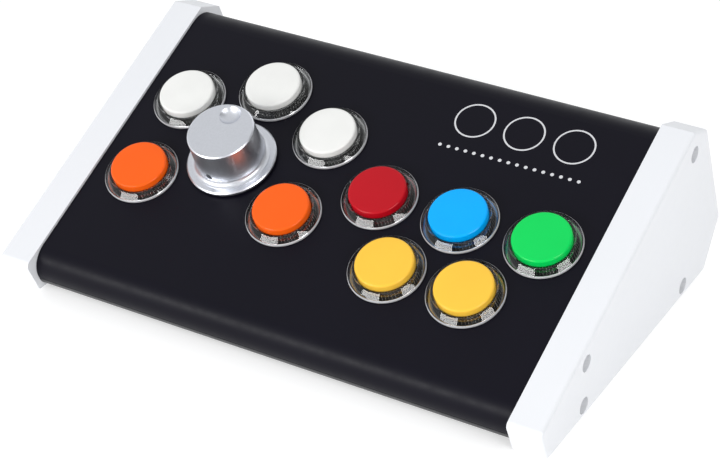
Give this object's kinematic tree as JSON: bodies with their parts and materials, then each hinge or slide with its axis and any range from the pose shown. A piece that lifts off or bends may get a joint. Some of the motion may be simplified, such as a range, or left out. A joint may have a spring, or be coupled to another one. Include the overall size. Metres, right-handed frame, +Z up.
{
  "type": "desktop button console",
  "caption": "Desktop control console with sloping black sheet panel, white wedge end cheeks, coloured push buttons in clear bezels and a skirted metal knob.",
  "frame": {"origin": "centre of the footprint's bounding box, on the table surface", "axes": "+X to the user's right, +Y away from the user, +Z up"},
  "size_m": [0.2566, 0.1766, 0.0809],
  "materials": {
    "black_sheet": "satin black powder coat on bent steel sheet",
    "white_cheek": "smooth satin white, moulded",
    "steel": "zinc plated steel",
    "black_screw": "black oxide",
    "rubber": "soft black rubber",
    "nut_plastic": "pale moulded nylon",
    "knob_aluminium": "bead-blasted, clear anodised",
    "switch_plastic": "black moulded plastic",
    "board_green": "green solder mask",
    "brass": "turned brass",
    "socket_plastic": "black moulded plastic",
    "clear_bezel": "clear polished polycarbonate",
    "white_cap": "glossy moulded plastic",
    "orange_cap": "glossy moulded plastic",
    "red_cap": "glossy moulded plastic",
    "blue_cap": "glossy moulded plastic",
    "green_cap": "glossy moulded plastic",
    "yellow_cap": "glossy moulded plastic"
  },
  "bodies": {
    "console": {"top_cover": "black_sheet", "bottom_tray": "black_sheet", "left_cheek": "white_cheek", "right_cheek": "white_cheek", "left_cheek_screws": "steel", "right_cheek_screws": "steel", "cheek_nuts": "steel", "cover_screws": "black_screw", "rubber_feet": "rubber", "button_nuts": "nut_plastic", "encoder_body": "switch_plastic", "encoder_nut": "steel", "encoder_washer": "steel", "controller_board": "board_green", "board_standoffs": "brass", "board_screws": "steel", "data_socket": "socket_plastic", "socket_screws": "black_screw", "white_left_bezel": "clear_bezel", "white_top_bezel": "clear_bezel", "white_right_bezel": "clear_bezel", "orange_left_bezel": "clear_bezel", "orange_right_bezel": "clear_bezel", "red_bezel": "clear_bezel", "blue_bezel": "clear_bezel", "green_bezel": "clear_bezel", "yellow_left_bezel": "clear_bezel", "yellow_right_bezel": "clear_bezel", "white_left_switch": "switch_plastic", "white_top_switch": "switch_plastic", "white_right_switch": "switch_plastic", "orange_left_switch": "switch_plastic", "orange_right_switch": "switch_plastic", "red_switch": "switch_plastic", "blue_switch": "switch_plastic", "green_switch": "switch_plastic", "yellow_left_switch": "switch_plastic", "yellow_right_switch": "switch_plastic"},
    "knob": {"knob": "knob_aluminium", "knob_set_screw": "black_screw", "encoder_shaft": "steel"},
    "white_left_button": {"white_left_cap": "white_cap"},
    "white_top_button": {"white_top_cap": "white_cap"},
    "white_right_button": {"white_right_cap": "white_cap"},
    "orange_left_button": {"orange_left_cap": "orange_cap"},
    "orange_right_button": {"orange_right_cap": "orange_cap"},
    "red_button": {"red_cap": "red_cap"},
    "blue_button": {"blue_cap": "blue_cap"},
    "green_button": {"green_cap": "green_cap"},
    "yellow_left_button": {"yellow_left_cap": "yellow_cap"},
    "yellow_right_button": {"yellow_right_cap": "yellow_cap"}
  },
  "joints": [
    {"name": "white_left_press", "type": "slide", "parent": "console", "child": "white_left_button", "axis": [0, 0.4242, -0.9056], "range_m": [0, 0.0025], "stiffness_N_per_m": 150, "springref_m": -0.003},
    {"name": "white_top_press", "type": "slide", "parent": "console", "child": "white_top_button", "axis": [0, 0.4242, -0.9056], "range_m": [0, 0.0025], "stiffness_N_per_m": 150, "springref_m": -0.003},
    {"name": "white_right_press", "type": "slide", "parent": "console", "child": "white_right_button", "axis": [0, 0.4242, -0.9056], "range_m": [0, 0.0025], "stiffness_N_per_m": 150, "springref_m": -0.003},
    {"name": "orange_left_press", "type": "slide", "parent": "console", "child": "orange_left_button", "axis": [0, 0.4242, -0.9056], "range_m": [0, 0.0025], "stiffness_N_per_m": 150, "springref_m": -0.003},
    {"name": "orange_right_press", "type": "slide", "parent": "console", "child": "orange_right_button", "axis": [0, 0.4242, -0.9056], "range_m": [0, 0.0025], "stiffness_N_per_m": 150, "springref_m": -0.003},
    {"name": "red_press", "type": "slide", "parent": "console", "child": "red_button", "axis": [0, 0.4242, -0.9056], "range_m": [0, 0.0025], "stiffness_N_per_m": 150, "springref_m": -0.003},
    {"name": "blue_press", "type": "slide", "parent": "console", "child": "blue_button", "axis": [0, 0.4242, -0.9056], "range_m": [0, 0.0025], "stiffness_N_per_m": 150, "springref_m": -0.003},
    {"name": "green_press", "type": "slide", "parent": "console", "child": "green_button", "axis": [0, 0.4242, -0.9056], "range_m": [0, 0.0025], "stiffness_N_per_m": 150, "springref_m": -0.003},
    {"name": "yellow_left_press", "type": "slide", "parent": "console", "child": "yellow_left_button", "axis": [0, 0.4242, -0.9056], "range_m": [0, 0.0025], "stiffness_N_per_m": 150, "springref_m": -0.003},
    {"name": "yellow_right_press", "type": "slide", "parent": "console", "child": "yellow_right_button", "axis": [0, 0.4242, -0.9056], "range_m": [0, 0.0025], "stiffness_N_per_m": 150, "springref_m": -0.003},
    {"name": "knob_turn", "type": "hinge", "parent": "console", "child": "knob", "pos_m": [-0.0547, -0.01698, 0.04898], "axis": [0, -0.4242, 0.9056], "continuous": true}
  ]
}
